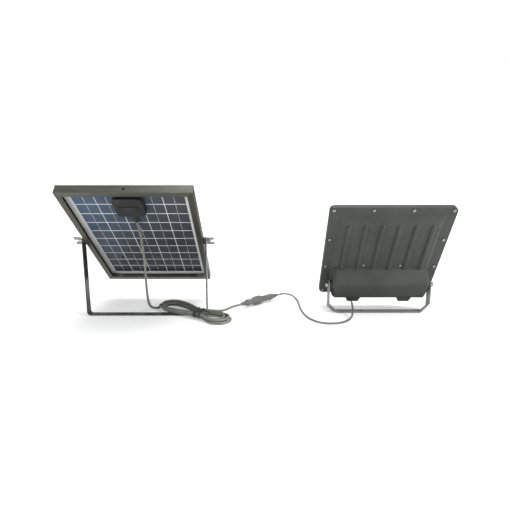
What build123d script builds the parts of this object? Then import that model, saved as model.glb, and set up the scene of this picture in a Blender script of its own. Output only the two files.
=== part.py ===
from build123d import *
import math
import os

# Solar flood light: a solar panel and a flood lamp, each on its own U bracket, joined by a cable
# with a tied hank and a screw connector. Millimetres, +Z up, +Y away from the panel's underside.
# The origin is the centre of the panel bracket's foot, on its underside.

# ---- Panel ----
panel_width = 240.0
panel_length = 315.0
panel_tilt = 41.5            # degrees between the panel and the ground
panel_pivot_height = 158.0
frame_depth = 17.0
frame_wall = 1.6
rear_lip = 11.0
front_lip = 6.0
front_lip_thickness = 1.5
shelf_width = 7.0
shelf_thickness = 1.6
glass_thickness = 3.0
sheet_thickness = 0.8
cell_proud = 0.1
laminate_gap = 0.4
cell_columns = 5
cell_rows = 10
cell_margin = 18.0           # panel edge to the first cell
column_gap = 1.2
row_gap = 1.9
cell_clearance = 0.05
busbar_width = 1.0
busbar_thickness = 0.1
key_leg = 30.0
key_thickness = 2.5
rail_hole_radius = 2.6

# ---- Junction box ----
box_width = 54.0
box_length = 50.0
box_from_top = 17.0          # panel's top edge to the box
box_base_height = 8.9
box_lid_height = 4.6
box_wall = 2.0
box_corner = 9.0
box_screw_radius = 1.2
box_screw_head = 2.3
box_screw_inset = 6.0
gland_radius = 5.0
gland_length = 10.0
relief_length = 14.0
gland_drop = 0.6             # the gland's axis, from the base's middle towards its lid
box_lid_round = 1.5
lid_ridge_height = 1.2
lid_ridge_back = 4.0
lid_ridge_front = 3.0
box_screw_sunk = 0.2
box_screw_slot = (2.6, 0.7, 1.0)
diode_board_size = (30.0, 20.0, 1.6)
diode_size = (6.0, 12.0, 3.0)
diode_offset = 8.0
lead_straight = 19.0         # straight cable after the strain relief

# ---- Panel pivot and bracket ----
pivot_radius = 2.5
running_clearance = 0.06
face_clearance = 0.1
bolt_head_clearance = 0.25   # bolt head to the frame's shelf and rear lip
bolt_head_height = 3.0
spacer_thickness = 4.4
spacer_radius = 7.0
washer_radius = 6.0
washer_thickness = 1.0
wing_hub_radius = 4.6
wing_hub_height = 6.0
wing_span = 24.0
wing_thickness = 2.0
wing_height = 9.0
bolt_tip = 2.0
wing_round = 1.2
wing_gap = 1.0               # hub's end to the wings' notch
panel_strip_width = 16.0
panel_strip_thickness = 2.0
panel_bend_radius = 8.0
slot_spacing = 96.0
slot_length = 31.0
slot_radius = 3.25
foot_hole_radius = 3.25

# ---- Lamp ----
lamp_x = 492.5
lamp_y = 19.0
lamp_pivot_height = 60.5
lamp_tilt = 61.0             # degrees between the lamp's face and the ground
lamp_width = 245.0
lamp_length = 224.0
lamp_below_pivot = 42.5      # pivot to the lower edge, along the face
flange_offset = 20.0         # pivot to the flange's rear face
flange_thickness = 4.0
bezel_thickness = 7.0
lamp_corner = 10.0
field_margin = 19.0
field_height = 8.0
field_bevel = 11.0
field_corner = 7.0
casting_wall = 2.5
rib_count = 6
rib_pitch = 33.0
rib_radius = 6.0
rib_rise = 4.5
rib_top = -146.0             # along the face, from the pivot
rib_bottom = -29.0
bulge_width = 202.0
bulge_slope = 24.0           # along the face, from the bulge's top to its shoulder
bulge_rear = 16.0            # pivot to the bulge's rear face
bulge_heel = 26.5
bulge_foot = 30.0
bulge_round = 6.0
bulge_end_round = 12.0
pad_offset = 55.0
pad_root = 31.0
pad_tip = 23.0
pad_end = 35.5
pad_front = -3.0
boss_radius = 9.0
boss_height = 3.0
boss_root = 8.0              # how far the boss reaches into the bulge's side
inner_boss_length = 9.0
inner_boss_radius = 7.0
screw_radius = 2.0
screw_head_radius = 3.4
screw_head_height = 2.2
screw_inset = 7.5
screw_recess_radius = 4.6
screw_recess_depth = 0.8
screw_hole_clearance = 0.06
screw_head_round = 1.0
screw_cross = (4.2, 0.9, 2.0)
screw_tip_gap = 2.5
screw_hole_spare = 0.5
valley_screw_x = 38.5
valley_screw_y = -44.0
valley_screw_radius = 1.5
valley_head_radius = 2.8
valley_head_height = 1.8
valley_head_round = 0.8
lamp_glass_thickness = 3.0
lamp_glass_clearance = 0.3
bezel_side = 11.5
bezel_lip = 3.5
bezel_lip_thickness = 1.5
bezel_seat_corner = 5.0
bezel_window_corner = 4.0
bezel_round = 1.5
led_board_width = 168.0
board_edge_gap = 2.0
board_corner = 5.0
led_board_thickness = 1.6
led_columns = 10
led_rows = 8
led_column_pitch = 14.0
led_row_pitch = 12.0
led_size = 3.0
led_height = 0.8
reflector_wall = 1.0
reflector_inset = 2.0
battery_radius = 9.2
battery_length = 65.0
battery_gap = 2.0
battery_row_gap = 0.6
battery_wall_gap = 0.4
battery_tip_length = 1.5
battery_tip_radius = 3.0
inner_clearance = 0.05
battery_end_gap = 13.0       # bulge's left end to the first cell
battery_shoulder_gap = 0.2
tray_thickness = 1.5
tray_over = 6.0
tray_under = 4.0
control_end_gap = 14.0       # board's end to the bulge's right end
control_side_gap = 5.0
control_length = 30.0
control_height = 9.0
control_thickness = 1.6
control_middle_y = 8.0
control_post_radius = 2.0
control_post_inset = 4.0
control_chip_x = 12.0
control_chip_size = (10.0, 12.0, 5.0)
control_capacitor = (28.0, 4.0)
control_capacitor_radius = 4.0
control_capacitor_height = 8.0

# ---- Lamp bracket ----
lamp_strip_width = 18.0
lamp_strip_thickness = 2.5
lamp_bracket_width = 218.0
corner_leg = 15.5
corner_skew = 0.5            # how fast the corner facet grows towards the near edge
lamp_bolt_radius = 3.0
lamp_bolt_head = 5.6
lamp_bolt_head_height = 4.0
spring_washer_radius = 5.6
spring_washer_thickness = 1.5
serration_count = 24
serration_radius = 1.3

# ---- Cables ----
panel_lead_diameter = 5.0
lamp_lead_diameter = 4.0
hank_bottom = 3.4
hank_top = 17.8
hank_waist = (112.0, -23.0)
hank_left_angle = -42.0
hank_right_angle = -22.0
hank_mid_height = 9.0
tie_offset = 7.0
tie_thickness = 1.1
tie_width = 2.4
tie_slack = 2.5
waist_half = 11.5
connector_start = (196.0, 38.0)
connector_angle = 42.0
connector_height = 10.4
grommet_radius = 3.4
grommet_length = 4.0
grommet_shank_length = 5.0
grommet_shank_step = 0.8
grommet_from_pad_middle = -3.0
lamp_lead_straight = 18.0    # straight cable before the lamp's grommet
connector_length = 112.0
boot_straight = 16.0
tail_straight = 20.0
nut_groove_count = 16
nut_groove_radius = 1.0
nut_groove_circle = 10.4
nut_groove_length = 15.0
nut_middle = 48.0


# ---- Helpers ----
def box_between(low, high):
    """A box from its lowest to its highest corner."""
    size = [b - a for a, b in zip(low, high)]
    middle = [(a + b) / 2 for a, b in zip(low, high)]
    return Pos(*middle) * Box(*size)


def cylinder_x(x0, x1, radius, y=0.0, z=0.0):
    """A cylinder along X from x0 to x1."""
    return Pos((x0 + x1) / 2, y, z) * Rot(0, 90, 0) * Cylinder(radius, abs(x1 - x0))


def cylinder_z(z0, z1, radius, x=0.0, y=0.0):
    """A cylinder along Z from z0 to z1."""
    return Pos(x, y, (z0 + z1) / 2) * Cylinder(radius, abs(z1 - z0))


def rounded_plate(width, y0, y1, z0, z1, radius):
    """A plate with rounded corners, centred across X, from y0 to y1 and z0 to z1."""
    outline = Pos(0, (y0 + y1) / 2) * RectangleRounded(width, y1 - y0, radius)
    return Pos(0, 0, z0) * extrude(outline, z1 - z0)


def half_space(origin, normal, size=600.0):
    """A large block that fills the side of a plane that its normal points to."""
    return Plane(origin=origin, z_dir=normal) * Pos(0, 0, size / 2) * Box(size, size, size)


def both_sides(shape):
    """A shape and its mirror image across X = 0."""
    return [shape, mirror(shape, about=Plane.YZ)]


nodes = {}


def keep(name, *shapes, place=Location()):
    """Store a node's solids at their place in the object."""
    solids = []
    for shape in shapes:
        solids += (place * shape).solids()
    nodes[name] = solids[0] if len(solids) == 1 else Compound(children=solids)


panel_place = Pos(0, 0, panel_pivot_height) * Rot(-panel_tilt, 0, 0)
lamp_place = Pos(lamp_x, lamp_y, lamp_pivot_height) * Rot(-lamp_tilt, 0, 0)

# ---- Panel frame, in its own frame: +Y down the slope, +Z towards the sun ----
shelf_from_rear = (frame_depth - front_lip_thickness - glass_thickness - sheet_thickness
                   - shelf_thickness)
bolt_head_radius = (shelf_from_rear - frame_wall) / 2 - bolt_head_clearance
frame_rear_to_pivot = (shelf_from_rear + frame_wall) / 2
rear = -frame_rear_to_pivot
front = rear + frame_depth
glass_top = front - front_lip_thickness
glass_bottom = glass_top - glass_thickness
sheet_bottom = glass_bottom - sheet_thickness
cell_bottom = sheet_bottom - cell_proud
shelf_bottom = sheet_bottom - shelf_thickness


def rail(length, across):
    """One mitred rail of the frame, along X, with its outer wall at Y = -across / 2."""
    edge = -across / 2
    half = length / 2
    section = box_between((-half, edge, rear), (half, edge + frame_wall, front))
    section += box_between((-half, edge, rear), (half, edge + rear_lip, rear + frame_wall))
    section += box_between((-half, edge, shelf_bottom), (half, edge + shelf_width, sheet_bottom))
    section += box_between((-half, edge, glass_top), (half, edge + front_lip, front))
    depth = rear_lip + 1.0
    outline = Polyline((-half, edge), (half, edge), (half - depth, edge + depth),
                       (-half + depth, edge + depth), close=True)
    return section & (Pos(0, 0, rear) * extrude(make_face(outline), frame_depth))


top_rail = rail(panel_width, panel_length)
bottom_rail = Rot(0, 0, 180) * rail(panel_width, panel_length)
right_rail = Rot(0, 0, 90) * rail(panel_length, panel_width)
left_rail = Rot(0, 0, -90) * rail(panel_length, panel_width)
wall_hole = Pos(0, -panel_length / 2, (rear + front) / 2) * Rot(90, 0, 0)
top_rail -= wall_hole * Cylinder(rail_hole_radius, 3 * frame_wall)
bottom_rail -= cylinder_z(rear - 1, rear + frame_wall + 1, rail_hole_radius, 0,
                          panel_length / 2 - rear_lip / 2)
pivot_hole = cylinder_x(-panel_width, panel_width, pivot_radius + running_clearance)
keep("panel_rail_top", top_rail, place=panel_place)
keep("panel_rail_bottom", bottom_rail, place=panel_place)
keep("panel_rail_left", left_rail - pivot_hole, place=panel_place)
keep("panel_rail_right", right_rail - pivot_hole, place=panel_place)

key_low = rear + frame_wall
corner_keys = []
for side_x in (-1, 1):
    for side_y in (-1, 1):
        corner_x = side_x * (panel_width / 2 - frame_wall)
        corner_y = side_y * (panel_length / 2 - frame_wall)
        xs = sorted((corner_x, corner_x - side_x * key_leg))
        ys = sorted((corner_y, corner_y - side_y * key_leg))
        thin_x = sorted((corner_x, corner_x - side_x * key_thickness))
        thin_y = sorted((corner_y, corner_y - side_y * key_thickness))
        key = box_between((xs[0], thin_y[0], key_low), (xs[1], thin_y[1], shelf_bottom))
        key += box_between((thin_x[0], ys[0], key_low), (thin_x[1], ys[1], shelf_bottom))
        corner_keys.append(key)
keep("frame_corner_keys", *corner_keys, place=panel_place)

# ---- Laminate: cover glass, white grid sheet and the cells in its windows ----
laminate_half_x = panel_width / 2 - frame_wall - laminate_gap
laminate_half_y = panel_length / 2 - frame_wall - laminate_gap
glass = box_between((-laminate_half_x, -laminate_half_y, glass_bottom),
                    (laminate_half_x, laminate_half_y, glass_top))
keep("panel_glass", glass, place=panel_place)

column_pitch = (panel_width - 2 * cell_margin) / cell_columns
row_pitch = (panel_length - 2 * cell_margin) / cell_rows
cell_width = column_pitch - column_gap
cell_length = row_pitch - row_gap
grid_sheet = box_between((-laminate_half_x, -laminate_half_y, sheet_bottom),
                         (laminate_half_x, laminate_half_y, glass_bottom))
windows = []
cells = []
busbars = []
for column in range(cell_columns):
    x = (column - (cell_columns - 1) / 2) * column_pitch
    bar_half = panel_length / 2 - cell_margin
    busbars.append(box_between((x - busbar_width / 2, -bar_half, cell_bottom - busbar_thickness),
                               (x + busbar_width / 2, bar_half, cell_bottom)))
    for row in range(cell_rows):
        y = (row - (cell_rows - 1) / 2) * row_pitch
        window = Pos(x, y, (sheet_bottom + glass_bottom) / 2) * Box(
            cell_width, cell_length, 2 * sheet_thickness)
        cell = box_between(
            (x - cell_width / 2 + cell_clearance, y - cell_length / 2 + cell_clearance, cell_bottom),
            (x + cell_width / 2 - cell_clearance, y + cell_length / 2 - cell_clearance, glass_bottom))
        windows.append(window)
        cells.append(cell)
keep("panel_grid_sheet", grid_sheet - windows, place=panel_place)
keep("solar_cells", *cells, place=panel_place)
keep("cell_busbars", *busbars, place=panel_place)

# ---- Junction box on the laminate's underside ----
box_seat = cell_bottom - busbar_thickness
box_top_edge = -panel_length / 2 + box_from_top
box_low_edge = box_top_edge + box_length
base_low = box_seat - box_base_height
lid_low = base_low - box_lid_height
box_middle = (box_top_edge + box_low_edge) / 2
box_base = rounded_plate(box_width, box_top_edge, box_low_edge, base_low, box_seat, box_corner)
box_base -= rounded_plate(box_width - 2 * box_wall, box_top_edge + box_wall, box_low_edge - box_wall,
                          base_low, box_seat - box_wall, box_corner - box_wall)
box_lid = rounded_plate(box_width, box_top_edge, box_low_edge, lid_low, base_low, box_corner)
box_lid = fillet(box_lid.faces().sort_by(Axis.Z)[0].edges(), box_lid_round)
lid_ridge = box_between((-box_width / 3, box_middle - lid_ridge_back, lid_low - lid_ridge_height),
                        (box_width / 3, box_middle + lid_ridge_front, lid_low))
box_lid += lid_ridge
box_screws = []
sink_floor = lid_low + box_lid_round
for side_x in (-1, 1):
    for y in (box_top_edge + box_screw_inset, box_low_edge - box_screw_inset):
        x = side_x * (box_width / 2 - box_screw_inset)
        post = cylinder_z(base_low, box_seat - box_wall, 2 * box_screw_radius, x, y)
        bore = cylinder_z(lid_low - 1, box_seat - box_wall, box_screw_radius + running_clearance, x, y)
        sink = cylinder_z(lid_low - 1, sink_floor, box_screw_head + running_clearance, x, y)
        box_base += post
        box_base -= bore
        box_lid -= bore
        box_lid -= sink
        screw = cylinder_z(lid_low + box_screw_sunk, sink_floor, box_screw_head, x, y)
        screw += cylinder_z(sink_floor, box_seat - box_wall - 0.5, box_screw_radius, x, y)
        screw -= Pos(x, y, lid_low + box_screw_sunk) * Box(*box_screw_slot)
        box_screws.append(screw)
gland_z = base_low + box_base_height / 2 - gland_drop
gland_start = box_low_edge
relief_start = gland_start + gland_length
lead_exit_y = relief_start + relief_length
gland = Pos(0, gland_start + gland_length / 2, gland_z) * Rot(90, 0, 0) * Cylinder(
    gland_radius, gland_length)
relief = Pos(0, relief_start + relief_length / 2, gland_z) * Rot(90, 0, 0) * Cone(
    0.5 * panel_lead_diameter + 0.8, gland_radius - 0.6, relief_length)
keep("junction_box_base", box_base, place=panel_place)
keep("junction_box_lid", box_lid, place=panel_place)
keep("junction_box_screws", *box_screws, place=panel_place)
keep("junction_box_gland", gland + relief, place=panel_place)
board_seat = box_seat - box_wall
diode_seat = board_seat - diode_board_size[2]
diode_board = Pos(0, box_middle, (board_seat + diode_seat) / 2) * Box(*diode_board_size)
diodes = [Pos(x, box_middle, diode_seat - diode_size[2] / 2) * Box(*diode_size)
          for x in (-diode_offset, diode_offset)]
keep("bypass_diode_board", diode_board + diodes, place=panel_place)

# ---- Panel pivots: bolt, spacer, washer and wing nut on each side ----
rail_inner = panel_width / 2 - frame_wall
spacer_outer = panel_width / 2 + spacer_thickness
arm_inner = spacer_outer + face_clearance
arm_outer = arm_inner + panel_strip_thickness
washer_inner = arm_outer + face_clearance
nut_inner = washer_inner + washer_thickness
nut_outer = nut_inner + wing_hub_height
bolt = cylinder_x(rail_inner - bolt_head_height, rail_inner, bolt_head_radius)
bolt += cylinder_x(rail_inner, nut_outer + bolt_tip, pivot_radius)
bolt_bore = cylinder_x(rail_inner, nut_outer + bolt_tip, pivot_radius + running_clearance)
spacer = cylinder_x(panel_width / 2, spacer_outer, spacer_radius) - bolt_bore
washer = cylinder_x(washer_inner, nut_inner, washer_radius) - bolt_bore
wing = Pos((nut_inner + nut_outer + wing_height) / 2, 0, 0) * Box(
    wing_hub_height + wing_height, wing_span, wing_thickness)
wing -= Pos(nut_outer + wing_height / 2 + wing_gap, 0, 0) * Box(
    wing_height + 2 * wing_gap, 2 * wing_hub_radius, 2 * wing_thickness)
wing = fillet(wing.edges().filter_by(Axis.Z), wing_round)
wing_nut = cylinder_x(nut_inner, nut_outer, wing_hub_radius) + wing - bolt_bore
keep("panel_pivot_bolts", *both_sides(bolt), place=panel_place)
keep("panel_pivot_spacers", *both_sides(spacer), place=panel_place)
keep("panel_pivot_washers", *both_sides(washer), place=panel_place)
keep("panel_wing_nuts", *both_sides(wing_nut), place=panel_place)


def slots_and_hole(place):
    """Cutters for a bracket foot: two slots in line and a centre hole."""
    straight = slot_length - 2 * slot_radius
    cutters = [cylinder_z(-1, 5, foot_hole_radius)]
    for side in (-1, 1):
        middle = side * slot_spacing / 2
        cutters.append(Pos(middle, 0, 2) * Box(straight, 2 * slot_radius, 6))
        for end in (-1, 1):
            cutters.append(cylinder_z(-1, 5, slot_radius, middle + end * straight / 2, 0))
    return [place * cutter for cutter in cutters]


# ---- Panel bracket ----
panel_arm_top = panel_pivot_height + panel_strip_width / 2
outer_block = box_between((-arm_outer, -panel_strip_width / 2, 0),
                          (arm_outer, panel_strip_width / 2, panel_arm_top))
outer_block = fillet(outer_block.edges().filter_by(Axis.Y).sort_by(Axis.Z)[:2], panel_bend_radius)
inner_block = box_between((-arm_inner, -panel_strip_width, panel_strip_thickness),
                          (arm_inner, panel_strip_width, panel_arm_top + 10))
inner_block = fillet(inner_block.edges().filter_by(Axis.Y).sort_by(Axis.Z)[:2],
                     panel_bend_radius - panel_strip_thickness)
arm_shape = box_between((-arm_outer - 1, -panel_strip_width, -1),
                        (arm_outer + 1, panel_strip_width, panel_pivot_height))
arm_shape += cylinder_x(-arm_outer - 1, arm_outer + 1, panel_strip_width / 2, 0, panel_pivot_height)
panel_bracket = (outer_block - inner_block) & arm_shape
panel_bracket -= cylinder_x(-arm_outer - 1, arm_outer + 1, pivot_radius + running_clearance, 0,
                            panel_pivot_height)
panel_bracket -= slots_and_hole(Location())
keep("panel_bracket", panel_bracket)

# ---- Lamp housing, in its own frame: +Y down the face, +Z out of the glass ----
flange_rear = flange_offset
flange_front = flange_rear + flange_thickness
bezel_front = flange_front + bezel_thickness
lamp_low = lamp_below_pivot
lamp_high = lamp_low - lamp_length
field_rear = flange_rear - field_height
field_floor = field_rear + casting_wall
field_low = lamp_low - field_margin
field_high = lamp_high + field_margin
field_width = lamp_width - 2 * field_margin
battery_low_row = bulge_heel - casting_wall - battery_radius - battery_wall_gap
battery_rows = (battery_low_row - 2 * battery_radius - battery_row_gap, battery_low_row)
bulge_shoulder = battery_rows[0] - battery_radius - battery_shoulder_gap
bulge_top = bulge_shoulder - bulge_slope
battery_left = battery_end_gap - bulge_width / 2


def tapered_field(grow, z_wide, z_narrow):
    """The raised field's body: wide at the flange, narrower at its floor."""
    wide_half = field_width / 2 + grow
    narrow_half = wide_half - field_bevel
    low = field_low + grow
    high = field_high - grow
    wide = Pos(0, (low + high) / 2, z_wide) * RectangleRounded(2 * wide_half, low - high, field_corner)
    narrow = Pos(0, (low + high) / 2, z_narrow) * RectangleRounded(
        2 * narrow_half, low - high - 2 * field_bevel, field_corner)
    return loft([wide, narrow])


def bulge_body(grow, front_z):
    """The battery bulge across the lower end, shrunk by -grow for its cavity."""
    points = [(bulge_top - grow, front_z), (bulge_top - grow, field_rear + 1 - grow),
              (bulge_shoulder - grow, -bulge_rear - grow), (bulge_heel + grow, -bulge_rear - grow),
              (bulge_foot + grow, front_z)]
    half = bulge_width / 2 + grow
    outline = make_face(Plane.YZ * Polyline(*points, close=True))
    body = Pos(-half, 0, 0) * extrude(outline, 2 * half, dir=(1, 0, 0))
    long_edges = body.edges().filter_by(Axis.X)
    rear_edges = [e for e in long_edges if e.center().Z < -bulge_rear - grow + 0.5]
    body = fillet(rear_edges, bulge_round + grow)
    ends = [e for e in body.edges() if abs(abs(e.center().X) - half) < 0.5
            and e.center().Z < front_z - 1 and e.center().Z > -bulge_rear - grow - 1]
    return chamfer(ends, bulge_end_round / 2 + grow)


housing = rounded_plate(lamp_width, lamp_high, lamp_low, flange_rear, flange_front, lamp_corner)
housing += tapered_field(0, flange_rear, field_rear)
housing += bulge_body(0, flange_rear)
rib_room = 2 * rib_radius
for index in range(rib_count):
    x = (index - (rib_count - 1) / 2) * rib_pitch
    z = field_rear - rib_rise + rib_radius
    middle = (rib_top + rib_bottom) / 2
    length = rib_bottom - rib_top - 2 * rib_radius
    rib = Pos(x, middle, z) * Rot(90, 0, 0) * Cylinder(rib_radius, length)
    for end in (-1, 1):
        rib += Pos(x, middle + end * length / 2, z) * Sphere(rib_radius)
    rib &= box_between((x - rib_room, rib_top - rib_room, -bulge_rear),
                       (x + rib_room, rib_bottom + rib_room, field_rear + 1))
    housing += rib
housing += both_sides(cylinder_x(bulge_width / 2 - boss_root, bulge_width / 2 + boss_height,
                                 boss_radius))
cavity = tapered_field(-casting_wall, flange_front, field_floor)
cavity += bulge_body(-casting_wall, flange_front)
inner_boss = cylinder_x(bulge_width / 2 - inner_boss_length, bulge_width / 2 + 1, inner_boss_radius)
for boss_side in both_sides(inner_boss):
    cavity -= boss_side
housing -= cavity
lamp_bolt_bore = cylinder_x(bulge_width / 2 - inner_boss_length + 1, bulge_width,
                            lamp_bolt_radius + running_clearance)
housing -= both_sides(lamp_bolt_bore)
for side in (-1, 1):
    x = side * pad_offset
    pad_outline = Polyline((x - pad_root / 2, bulge_heel - 1), (x + pad_root / 2, bulge_heel - 1),
                           (x + pad_tip / 2, pad_end), (x - pad_tip / 2, pad_end), close=True)
    pad = Pos(0, 0, -bulge_rear + 1) * extrude(make_face(pad_outline), pad_front + bulge_rear - 1)
    housing += pad
grommet_x = -pad_offset + grommet_from_pad_middle
grommet_y = (bulge_heel + pad_end) / 2
pad_rear = -bulge_rear + 1
shank_radius = grommet_radius - grommet_shank_step
shank_end = pad_rear + grommet_shank_length
grommet_shank = cylinder_z(pad_rear - 0.01, shank_end, shank_radius, grommet_x, grommet_y)
housing -= cylinder_z(pad_rear - 1, shank_end, shank_radius + inner_clearance, grommet_x, grommet_y)
grommet = Pos(grommet_x, grommet_y, pad_rear - grommet_length / 2) * Rot(180, 0, 0) * Cone(
    grommet_radius, lamp_lead_diameter / 2 + 0.4, grommet_length)
keep("lead_grommet", grommet + grommet_shank, place=lamp_place)

screw_places = []
for i in range(4):
    x = (i / 3 - 0.5) * (lamp_width - 2 * screw_inset)
    screw_places += [(x, lamp_high + screw_inset), (x, lamp_low - screw_inset)]
for i in (1, 2):
    y = lamp_high + screw_inset + i / 3 * (lamp_length - 2 * screw_inset)
    screw_places += [(-lamp_width / 2 + screw_inset, y), (lamp_width / 2 - screw_inset, y)]
recess_floor = flange_rear + screw_recess_depth
screw_tip = flange_front + bezel_thickness - screw_tip_gap
flange_screws = []
screw_bores = []
for x, y in screw_places:
    housing -= cylinder_z(flange_rear - 1, recess_floor, screw_recess_radius, x, y)
    screw_bores.append(cylinder_z(recess_floor - 1, screw_tip + screw_hole_spare,
                                  screw_radius + screw_hole_clearance, x, y))
    head = cylinder_z(recess_floor - screw_head_height, recess_floor, screw_head_radius, x, y)
    head = fillet(head.edges().sort_by(Axis.Z)[0], screw_head_round)
    head += cylinder_z(recess_floor, screw_tip, screw_radius, x, y)
    for turn in (0, 90):
        head -= Pos(x, y, recess_floor - screw_head_height) * Rot(0, 0, turn) * Box(*screw_cross)
    flange_screws.append(head)
housing -= screw_bores
valley_screws = []
for side in (-1, 1):
    x = side * valley_screw_x
    valley_end = field_floor + led_board_thickness
    housing -= cylinder_z(field_rear - 1, field_floor + 1, valley_screw_radius + running_clearance,
                          x, valley_screw_y)
    screw = cylinder_z(field_rear - valley_head_height, field_rear, valley_head_radius, x,
                       valley_screw_y)
    screw = fillet(screw.edges().sort_by(Axis.Z)[0], valley_head_round)
    screw += cylinder_z(field_rear, valley_end, valley_screw_radius, x, valley_screw_y)
    valley_screws.append(screw)
keep("lamp_housing", housing, place=lamp_place)
keep("flange_screws", *flange_screws, place=lamp_place)
keep("led_board_screws", *valley_screws, place=lamp_place)

# ---- Bezel, glass and seal ----
glass_front = bezel_front - bezel_lip_thickness
glass_rear = glass_front - lamp_glass_thickness
glass_half = lamp_width / 2 - bezel_side - lamp_glass_clearance
glass_high = lamp_high + bezel_side + lamp_glass_clearance
glass_low = lamp_low - bezel_side - lamp_glass_clearance
seat_high = lamp_high + bezel_side
seat_low = lamp_low - bezel_side
window_high = seat_high + bezel_lip
window_low = seat_low - bezel_lip
window_width = lamp_width - 2 * (bezel_side + bezel_lip)
bezel = rounded_plate(lamp_width, lamp_high, lamp_low, flange_front, bezel_front, lamp_corner)
bezel -= rounded_plate(lamp_width - 2 * bezel_side, seat_high, seat_low, flange_front - 1,
                       glass_front, bezel_seat_corner)
bezel -= rounded_plate(window_width, window_high, window_low, glass_front - 1, bezel_front + 1,
                       bezel_window_corner)
bezel = fillet([e for e in bezel.faces().sort_by(Axis.Z)[-1].outer_wire().edges()], bezel_round)
bezel -= screw_bores
glass_corner = bezel_seat_corner - lamp_glass_clearance
lamp_glass = rounded_plate(2 * glass_half, glass_high, glass_low, glass_rear, glass_front,
                           glass_corner)
seal = rounded_plate(2 * glass_half, glass_high, glass_low, flange_front, glass_rear, glass_corner)
seal -= rounded_plate(window_width, window_high, window_low, flange_front - 1, glass_rear + 1,
                      bezel_window_corner)
keep("lamp_bezel", bezel, place=lamp_place)
keep("lamp_glass", lamp_glass, place=lamp_place)
keep("lamp_seal", seal, place=lamp_place)

# ---- LED board, chips and reflector ----
board_high = field_high + casting_wall + field_bevel + board_edge_gap
board_low = valley_screw_y + 2 * valley_head_radius
board_middle = (board_high + board_low) / 2
board_front = field_floor + led_board_thickness
led_board = rounded_plate(led_board_width, board_high, board_low, field_floor, board_front,
                          board_corner)
for side in (-1, 1):
    led_board -= cylinder_z(field_floor - 1, board_front + 1, valley_screw_radius + running_clearance,
                            side * valley_screw_x, valley_screw_y)
chips = []
for column in range(led_columns):
    for row in range(led_rows):
        x = (column - (led_columns - 1) / 2) * led_column_pitch
        y = board_middle + (row - (led_rows - 1) / 2) * led_row_pitch
        chips.append(Pos(x, y, board_front + led_height / 2) * Box(led_size, led_size, led_height))
reflector_half = led_board_width / 2 - reflector_inset
reflector_high = board_high + reflector_inset
reflector_low = board_low - reflector_inset
reflector = box_between((-reflector_half, reflector_high, board_front),
                        (reflector_half, reflector_low, flange_front))
reflector -= box_between((-reflector_half + reflector_wall, reflector_high + reflector_wall, 0),
                         (reflector_half - reflector_wall, reflector_low - reflector_wall, bezel_front))
for side in (-1, 1):
    reflector -= cylinder_z(board_front - 1, board_front + 3, 2 * valley_screw_radius,
                            side * valley_screw_x, valley_screw_y)
keep("led_board", led_board, place=lamp_place)
keep("led_chips", *chips, place=lamp_place)
keep("reflector_frame", reflector, place=lamp_place)

# ---- Battery and control board in the bulge ----
bulge_wall = -bulge_rear + casting_wall
battery_z = bulge_wall + battery_radius + inner_clearance
batteries = []
for index in range(2):
    x0 = battery_left + index * (battery_length + battery_gap)
    for y in battery_rows:
        can_end = x0 + battery_length - battery_tip_length
        can = cylinder_x(x0, can_end, battery_radius, y, battery_z)
        can += cylinder_x(can_end, can_end + battery_tip_length, battery_tip_radius, y, battery_z)
        batteries.append(can)
battery_right = battery_left + 2 * battery_length + battery_gap
tray_z = battery_z + battery_radius + inner_clearance
tray_end = battery_right + 1 + tray_thickness
tray_high = battery_rows[0] - tray_over
tray_low = battery_rows[1] + tray_under
tray = box_between((battery_left, tray_high, tray_z), (tray_end, tray_low, tray_z + tray_thickness))
tray += box_between((tray_end - tray_thickness, tray_high, bulge_wall + inner_clearance),
                    (tray_end, tray_low, tray_z))
keep("battery_cells", *batteries, place=lamp_place)
keep("battery_tray", tray, place=lamp_place)
board_x = battery_right + control_side_gap
control_width = bulge_width / 2 - control_end_gap - board_x
board_z = bulge_wall + control_height
board_y = control_middle_y
control = box_between((board_x, board_y - control_length / 2, board_z),
                      (board_x + control_width, board_y + control_length / 2,
                       board_z + control_thickness))
for dx in (control_post_inset, control_width - control_post_inset):
    for dy in (control_post_inset - control_length / 2, control_length / 2 - control_post_inset):
        control += cylinder_z(bulge_wall + inner_clearance, board_z, control_post_radius,
                              board_x + dx, board_y + dy)
control += Pos(board_x + control_chip_x, board_y,
               board_z + control_thickness + control_chip_size[2] / 2) * Box(*control_chip_size)
control += cylinder_z(board_z + 1, board_z + 1 + control_capacitor_height, control_capacitor_radius,
                      board_x + control_capacitor[0], board_y + control_capacitor[1])
keep("control_board", control, place=lamp_place)

# ---- Lamp pivots ----
boss_outer = bulge_width / 2 + boss_height
lamp_arm_outer = lamp_bracket_width / 2
lamp_arm_inner = lamp_arm_outer - lamp_strip_thickness
serrated_outer = lamp_arm_inner - face_clearance
spring_inner = lamp_arm_outer + face_clearance
head_inner = spring_inner + spring_washer_thickness
lamp_bolt = cylinder_x(bulge_width / 2 - inner_boss_length + 1.5, head_inner, lamp_bolt_radius)
lamp_bolt += Pos(head_inner, 0, 0) * Rot(0, 90, 0) * extrude(
    RegularPolygon(lamp_bolt_head, 6), lamp_bolt_head_height)
lamp_bore = cylinder_x(0, lamp_bracket_width, lamp_bolt_radius + running_clearance)
serrated = cylinder_x(boss_outer, serrated_outer, boss_radius - 1)
for index in range(serration_count):
    angle = 2 * math.pi * index / serration_count
    y = boss_radius * math.cos(angle)
    z = boss_radius * math.sin(angle)
    serrated -= cylinder_x(boss_outer - 1, serrated_outer + 1, serration_radius, y, z)
serrated -= lamp_bore
spring_washer = cylinder_x(spring_inner, head_inner, spring_washer_radius) - lamp_bore
keep("lamp_pivot_bolts", *both_sides(lamp_bolt), place=lamp_place)
keep("serrated_washers", *both_sides(serrated), place=lamp_place)
keep("spring_washers", *both_sides(spring_washer), place=lamp_place)

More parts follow.
